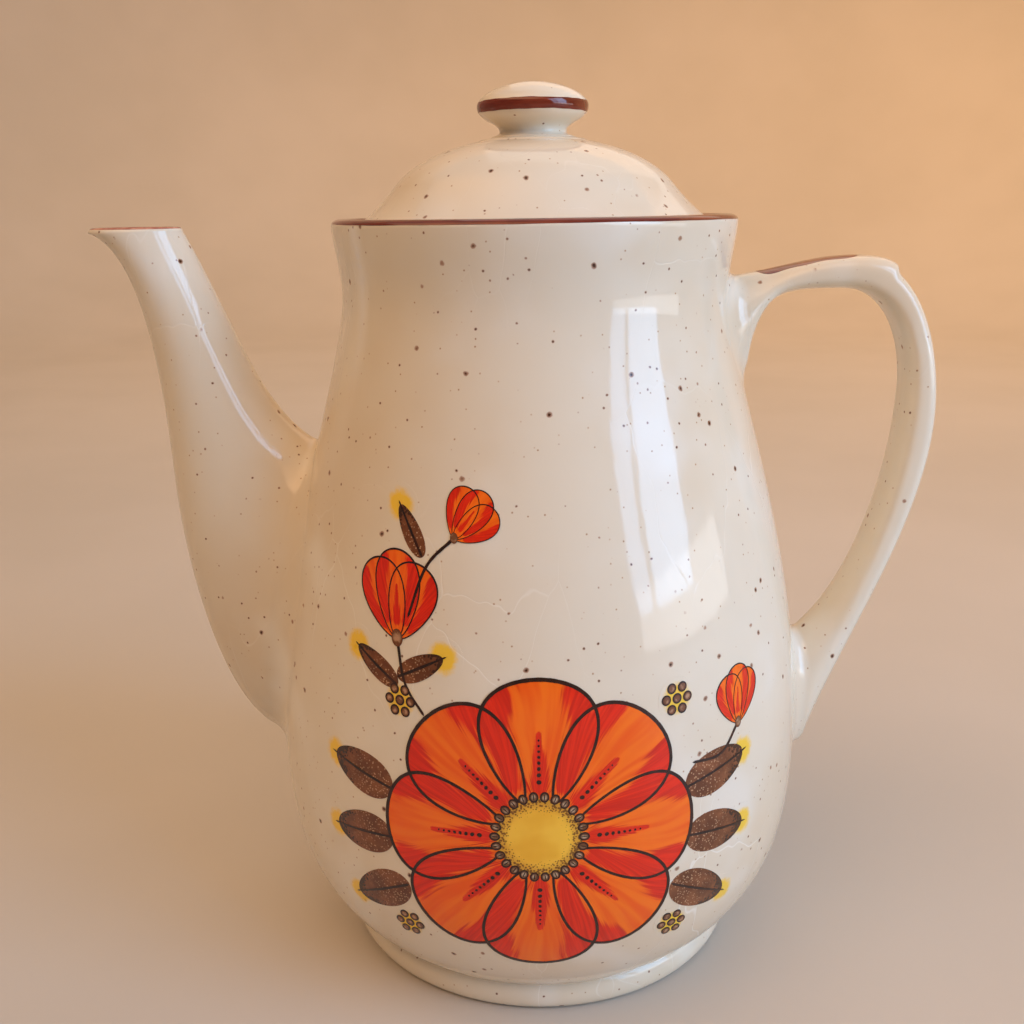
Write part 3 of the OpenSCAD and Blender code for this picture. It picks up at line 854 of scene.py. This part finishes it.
class Drawing:
    """Blobs and strokes of one colour, which become one piece."""

    def __init__(self, name, lift, material, slot, *nodes):
        self.name, self.lift, self.material, self.slot, self.nodes = name, lift, material, slot, nodes
        self.sheets = []
        self.fields = {"rim": [], "along": [], "across": [], "which": [], "shade": []}

    def keep(self, flat, top, rim, axis=None, which=0.0, shade=None, lift=0.0):
        """Adds one closed film: flat (rows, columns, 2), and top says which of its points face outwards."""
        lift = np.where(top, self.lift + lift, UNDER)
        self.sheets.append((on_body(flat[..., 0], flat[..., 1], lift), False))
        zero = np.zeros(flat.shape[:2])
        length_way, cross_way = zero, zero
        if axis is not None:
            base, tip = np.asarray(axis, float)
            d = flat - base
            way = tip - base
            length_way = (d @ way) / (way @ way)
            turn = np.arctan2(d[..., 0] * way[1] - d[..., 1] * way[0], d @ way)
            cross_way = np.clip(turn / EDGE_TURN, -2, 2)
        values = {"rim": zero + rim, "along": length_way, "across": cross_way, "which": zero + which,
                  "shade": zero if shade is None else shade(flat)}
        for key, value in values.items():
            self.fields[key].append(value.ravel())

    def blob(self, outline, centre, rings=3, **more):
        """A filled shape whose outline all lies in sight of its centre."""
        outline, centre = np.asarray(outline, float), np.asarray(centre, float)
        share = np.concatenate([np.linspace(0, 1, rings + 1), np.linspace(1, 0, rings + 1)])
        flat = centre + (outline - centre)[None] * share[:, None, None]
        top = np.arange(len(share)) <= rings
        self.keep(flat, top[:, None] & np.ones(flat.shape[:2], bool), share[:, None], **more)

    def shape(self, points, centre, rings=12, steps=8, **more):
        self.blob(spline(points, steps, closed=True), centre, rings, **more)

    def oval(self, centre, half_x, half_z, turn=0.0, sides=18, rings=2, **more):
        a = np.arange(sides) * TURN / sides
        x, z = half_x * np.cos(a), half_z * np.sin(a)
        c, s = math.cos(math.radians(turn)), math.sin(math.radians(turn))
        outline = np.stack([x * c - z * s, x * s + z * c], -1) + centre
        self.blob(outline, centre, rings, **more)

    def stroke(self, points, widths, steps=14):
        """A brush line through points, with half widths at its start, middle and end, and round ends."""
        line = spline(points, steps)
        run = distances(line)
        t = run / run[-1]
        first, mid, last = widths
        half = np.interp(t, [0, 0.5, 1], [first, mid, last])
        half = half + 0.05 * half * np.sin(run * 2.1)
        near = np.minimum(run, run[-1] - run)
        cap = np.where(run < run[-1] / 2, first, last)
        depth = np.clip(near / np.maximum(cap, 1e-3), 0, 1)
        half = half * np.sqrt(np.clip(1 - (1 - depth) ** 2, 0.0, 1))
        way = np.gradient(line, axis=0)
        way /= np.linalg.norm(way, axis=1, keepdims=True)
        side = np.stack([-way[:, 1], way[:, 0]], -1)
        spread = np.array([-1, -0.5, 0, 0.5, 1, 1, 0, -1])
        flat = line[:, None, :] + side[:, None, :] * half[:, None, None] * spread[None, :, None]
        top = (np.arange(8) < 5)[None, :] & np.ones(flat.shape[:2], bool)
        self.keep(flat, top, np.abs(spread)[None, :])

    def dots(self, points, first, last, count):
        """A row of dots that shrink along a line."""
        line = spline(points, 20)
        run = distances(line)
        for i in range(count):
            t = (i / (count - 1)) ** 0.9
            at = np.array([np.interp(t * run[-1], run, line[:, c]) for c in range(2)])
            size = first + (last - first) * t
            self.oval(at, size, size * 0.86, turn=37 * i, sides=12, rings=1)

    def done(self):
        fields = {key: np.concatenate(value) for key, value in self.fields.items()}
        piece = build(self.name, self.sheets, self.material, sharp=40, fields=fields)
        return settle(piece, "pot", self.slot, *self.nodes)


# A petal, a leaf and a berry are each one formula, repeated evenly round the eye. More stand on stems.
EYE = (0.0, 62.5)
EYE_R = 10.0
PETAL_COUNT = 8
PETAL_FOOT_R, PETAL_TIP_R, PETAL_HALF_W = 7.0, 38.0, 13.0
LEAF_FOOT_R, LEAF_TIP_R, LEAF_HALF_W = 37.0, 56.0, 5.4
LEAF_TURNS = (-28, -8, 12, 168, 188, 208)
BERRY_R, CLUSTER_R, CLUSTER_STEP = 1.25, 45.0, 2.9
CLUSTER_TURNS = (42, 138, 222, 318)
SEED_COUNT, SEED_SIZE = 26, 1.3
HALO_R = 4.2
SPREAD = 1.2             # how far the sprayed yellow fades out, as a share of its radii

# Buds, as (piece, CAD node, foot, tip, half width), and leaves on their stems, as (foot, tip, half width)
BUDS = [("tulip_paint", "tulip", (-34, 107), (-34, 127), 6.0),
        ("heart_paint", "heart_bud", (-19, 131), (-11, 141), 3.6),
        ("side_flower_paint", "side_bud", (53, 82), (53, 96), 4.2)]
STEM_LEAVES = [((-34, 98), (-22, 104), 2.8), ((-34, 96), (-46, 103), 2.8), ((-27, 126), (-33, 137), 2.5)]
STEMS = [[(-27, 90), (-32, 97), (-34, 107)],
         [(-31, 112), (-26, 124), (-19, 131)],
         [(38, 76), (47, 76), (53, 82)]]


def polar(far, degrees):
    """The point at a distance and direction from the middle of the flower."""
    a = math.radians(degrees)
    return np.array([EYE[0] + far * math.cos(a), EYE[1] + far * math.sin(a)])


LEAVES = [(polar(LEAF_FOOT_R, turn), polar(LEAF_TIP_R, turn), LEAF_HALF_W) for turn in LEAF_TURNS]
LEAVES += STEM_LEAVES
CLUSTERS = [polar(CLUSTER_R, turn) for turn in CLUSTER_TURNS]
# Yellow is sprayed behind each leaf's tip and each cluster of berries
HALOS = [np.asarray(leaf[1], float) for leaf in LEAVES] + CLUSTERS


def directions(foot, tip):
    """The foot, the way from it to the tip, and the level direction across that way."""
    foot, tip = np.asarray(foot, float), np.asarray(tip, float)
    way = tip - foot
    return foot, way, np.array([-way[1], way[0]]) / np.linalg.norm(way)


def egg(foot, tip, half_width, fullness=0.35, count=24):
    """An egg-shaped outline from foot to tip, fuller towards the tip."""
    foot, way, side = directions(foot, tip)
    a = np.linspace(0, TURN, count, endpoint=False)[:, None]
    t = (1 - np.cos(a)) / 2
    return foot + way * t + side * half_width * np.sin(a) * (1 - fullness + 2 * fullness * t)


def petal_marks(foot, tip, half_width):
    """Red brush marks: one along each side of a petal and a short one up its middle."""
    foot, way, side = directions(foot, tip)
    side = side * half_width
    marks = [([foot + way * t + side * s * e for t, e in ((0.2, 0.4), (0.55, 0.8), (0.88, 0.7))],
              (0.2 * half_width, 0.36 * half_width, 0.3 * half_width)) for s in (-1, 1)]
    marks.append(([foot + way * 0.2, foot + way * 0.6], (0.22 * half_width, 0.06 * half_width)))
    return marks


def red_brush(marks):
    """How far inside the red brush marks each point is: 1 on a mark's middle line, and 0 at its edge."""
    lines = []
    for points, widths in marks:
        line = spline(points, 12)
        lines.append((line, np.interp(np.linspace(0, 1, len(line)), np.linspace(0, 1, len(widths)), widths)))

    def amount(flat):
        inside = np.full(flat.shape[:-1], -1.0)
        for line, half in lines:
            away = np.linalg.norm(flat[..., None, :] - line, axis=-1)
            inside = np.maximum(inside, (1 - away / half).max(-1))
        return inside
    return amount


def paint_petal(fill, ink, foot, tip, half_width, which, lift):
    """Fills a petal and inks its edge."""
    outline = egg(foot, tip, half_width)
    centre = (np.asarray(foot, float) + tip) / 2
    fill.shape(outline, centre, rings=20, steps=4, axis=(foot, tip), which=which,
               shade=red_brush(petal_marks(foot, tip, half_width)), lift=lift)
    edge = 0.035 * half_width
    ink.stroke(np.vstack([outline, outline[:1]]), (edge * 0.6, edge, edge * 0.6), steps=5)


def paint_bud(fill, ink, foot, tip, half_width, which):
    """Three petals from one foot, the middle one in front."""
    foot, way = np.asarray(foot, float), np.subtract(tip, foot)
    for i, (turn, size) in enumerate(((-22, 0.92), (22, 0.92), (0, 1.0))):
        c, s = math.cos(math.radians(turn)), math.sin(math.radians(turn))
        end = foot + size * np.array([way[0] * c - way[1] * s, way[0] * s + way[1] * c])
        paint_petal(fill, ink, foot, end, half_width, which + 1.7 * i, 0.012 * i)


def make_flower():
    petals = Drawing("flower_petal_paint", 0.06, PETAL, "orange_colour", "flower_petals")
    lines = Drawing("flower_outline", 0.16, INK_LINE, "leaf_brown")
    for i in range(PETAL_COUNT):
        turn = 90 + i * 360 / PETAL_COUNT
        paint_petal(petals, lines, polar(PETAL_FOOT_R, turn), polar(PETAL_TIP_R, turn), PETAL_HALF_W,
                    2.6 * i + 0.9, 0.010 * i)
        lines.dots([polar(14, turn), polar(24, turn)], 0.6, 0.25, 8)
    petals.done()
    lines.done()


def eye_shade(flat):
    """How much the eye is stippled: most round its edge."""
    d = (flat - EYE) / EYE_R
    return fade(np.hypot(d[..., 0], d[..., 1]), 0.45, 1.0)


def make_eye():
    eye = Drawing("eye_paint", 0.17, EYE_YELLOW, "yellow_colour", "flower_eye")
    eye.oval(EYE, EYE_R, EYE_R, sides=96, rings=14, shade=eye_shade)
    eye.done()
    rings = Drawing("seed_outline", 0.20, INK_LINE, "leaf_brown")
    fills = Drawing("seed_paint", 0.22, SEED, "leaf_brown")
    creases = Drawing("seed_crease", 0.24, INK_LINE, "leaf_brown")
    for i in range(SEED_COUNT):
        turn = 360 * i / SEED_COUNT
        at = polar(EYE_R + 0.4, turn)
        rings.oval(at, SEED_SIZE, SEED_SIZE * 0.84, turn, sides=20)
        fills.oval(at, SEED_SIZE - 0.38, SEED_SIZE * 0.84 - 0.36, turn, sides=18)
        way = polar(1, turn) - EYE
        creases.stroke([at - way * 0.7, at, at + way * 0.7], (0.08, 0.12, 0.08))
    for piece in (rings, fills, creases):
        piece.done()


def spray_edge(flat):
    """How near each point is to the edge of the yellow: 0 in the middle of any spray, 1 where it ends."""
    nearest = np.ones(flat.shape[:-1])
    for middle in HALOS:
        nearest = np.minimum(nearest, np.linalg.norm(flat - middle, axis=-1) / (HALO_R * SPREAD))
    return nearest


def make_sprays():
    """The buds, their stems and the sprayed yellow."""
    halos = Drawing("halo_paint", 0.03, HALO, "yellow_colour")
    reach = HALO_R * SPREAD
    for i, middle in enumerate(HALOS):
        halos.oval(middle, reach, reach, sides=36, rings=10, shade=spray_edge, lift=0.0004 * i)
    halos.done()
    ink = Drawing("spray_outline", 0.13, INK_LINE, "leaf_brown")
    for i, (name, node, *bud) in enumerate(BUDS):
        fill = Drawing(name, 0.06, PETAL, "orange_colour", node)
        paint_bud(fill, ink, *bud, 3.1 * i)
        fill.done()
    for points in STEMS:
        ink.stroke(points, (0.3, 0.34, 0.36))
    ink.done()
    cups = Drawing("calyx_paint", 0.15, BERRY, "leaf_brown")
    for _, _, foot, _, half in BUDS:
        cups.oval(foot, 0.26 * half, 0.34 * half, sides=18)
    cups.done()


def make_leaves():
    leaves = Drawing("leaf_paint", 0.07, LEAF, "leaf_brown", "leaves")
    ribs = Drawing("leaf_rib", 0.13, INK_LINE, "leaf_brown")
    for foot, tip, half in LEAVES:
        start, way, _ = directions(foot, tip)
        outline = egg(foot, tip, half, fullness=-0.15)
        leaves.shape(outline, start + way / 2, rings=7, steps=4, axis=(foot, tip))
        ribs.stroke([start, start + way / 2, start + 1.08 * way], (0.30, 0.34, 0.16))
    leaves.done()
    ribs.done()


def make_berries():
    rings = Drawing("berry_outline", 0.12, INK_LINE, "leaf_brown")
    fills = Drawing("berry_paint", 0.15, BERRY, "leaf_brown", "berries")
    for middle in CLUSTERS:
        for i in range(7):
            a = TURN * i / 6
            at = middle + (i > 0) * CLUSTER_STEP * np.array([math.cos(a), math.sin(a)])
            rings.oval(at, BERRY_R, BERRY_R, sides=18)
            fills.oval(at, BERRY_R - 0.36, BERRY_R - 0.36, sides=14)
    rings.done()
    fills.done()


# ---- floor, lights and camera ---------------------------------------------------------


def make_floor():
    """A pale round floor that sweeps up into a low wall all the way round."""
    flat, bend, wall = 1500.0, 700.0, 1500.0
    a = np.linspace(0, math.pi / 2, 16)
    rise = np.stack([flat + bend * np.sin(a), bend * (1 - np.cos(a))], -1)
    profile = np.vstack([[(0, 0), (400, 0), (900, 0)], rise, [(flat + bend, bend + wall)]])
    g = Graph("pale_floor")
    colour = g.mix(g.step(g.noise(3.0, 3.0, 0.6), 0.3, 0.7), rgb(194, 186, 174), rgb(201, 193, 182))
    g.finish(colour, 0.6)
    floor = build("floor", [(lathe(profile, 96), False)], g.material)


def area_light(name, direction, distance, size, power, colour, aside=0.0, spread=180, aim=(0, 0, 0.12)):
    """A rectangular light that faces aim, moved aside in its own plane."""
    data = bpy.data.lights.new(name, "AREA")
    data.shape, data.size, data.size_y = "RECTANGLE", size[0], size[1]
    data.energy, data.color, data.spread = power, colour, math.radians(spread)
    light = bpy.data.objects.new(name, data)
    bpy.context.scene.collection.objects.link(light)
    back = Vector(direction).normalized()
    turn = back.to_track_quat("Z", "Y")
    light.location = Vector(aim) + back * distance + turn @ Vector((aside, 0, 0))
    light.rotation_euler = turn.to_euler()


def make_sky():
    """A dim room, much brighter and warmer to the left in front."""
    world = bpy.data.worlds.new("studio")
    bpy.context.scene.world = world
    world.use_nodes = True
    tree = world.node_tree
    sky = tree.nodes["Background"]
    place = tree.nodes.new("ShaderNodeTexCoord").outputs["Generated"]
    facing = tree.nodes.new("ShaderNodeVectorMath")
    facing.operation = "DOT_PRODUCT"
    facing.inputs[1].default_value = (-0.66, -0.68, 0.32)
    tree.links.new(place, facing.inputs[0])
    side = tree.nodes.new("ShaderNodeMapRange")
    side.interpolation_type = "SMOOTHSTEP"
    side.inputs["From Min"].default_value = 0.15
    side.inputs["From Max"].default_value = 1.0
    tree.links.new(facing.outputs["Value"], side.inputs["Value"])
    mix = tree.nodes.new("ShaderNodeMix")
    mix.data_type = "RGBA"
    mix.inputs[6].default_value = (0.36, 0.345, 0.32, 1.0)
    mix.inputs[7].default_value = (3.80, 2.30, 1.25, 1.0)
    tree.links.new(side.outputs["Result"], mix.inputs[0])
    tree.links.new(mix.outputs[2], sky.inputs["Color"])


def make_lights():
    make_sky()
    window = (0.83, -0.43, 0.42)
    daylight = (0.55, 0.95, 1.50)
    area_light("window_wide", window, 1.35, (0.50, 1.15), 3.75, daylight, spread=120)
    area_light("window_narrow", window, 1.35, (0.20, 1.15), 1.2, daylight, aside=-0.41, spread=120)
    area_light("low_fill", (0.92, -0.40, 0.0), 1.3, (1.1, 0.20), 0.8, (0.95, 0.98, 1.0), spread=120)
    area_light("back_fill", (0.3, 1.0, 1.1), 1.6, (1.2, 1.2), 2.2, (1.0, 0.97, 0.92))


def make_camera():
    """The photographer's place: in front of the pot, a little above it, looking down."""
    focal, frame_px, sensor = 1100.0, 1024.0, 36.0
    pitch, yaw, roll = (math.radians(d) for d in (15.505, 1.321, -0.889))
    data = bpy.data.cameras.new("camera")
    data.sensor_width = sensor
    data.lens = focal / frame_px * sensor
    data.clip_start, data.clip_end = 0.01, 20
    camera = bpy.data.objects.new("camera", data)
    bpy.context.scene.collection.objects.link(camera)
    right = Vector((math.cos(yaw), math.sin(yaw), 0))
    ahead = Vector((-math.sin(yaw), math.cos(yaw), 0))
    forward = ahead * math.cos(pitch) - Vector((0, 0, 1)) * math.sin(pitch)
    up = ahead * math.sin(pitch) + Vector((0, 0, 1)) * math.cos(pitch)
    x = right * math.cos(roll) + up * math.sin(roll)
    y = up * math.cos(roll) - right * math.sin(roll)
    camera.matrix_world = Matrix((x, y, -forward)).transposed().to_4x4()
    camera.location = (AXIS * MM, -0.2981, 0.2031)
    bpy.context.scene.camera = camera


make_camera()
make_body()
make_foot()
make_seat()
make_spout()
make_handle()
make_lid()
make_lines()
make_flower()
make_eye()
make_sprays()
make_leaves()
make_berries()
make_floor()
make_lights()
bpy.context.scene.view_settings.view_transform = "Standard"
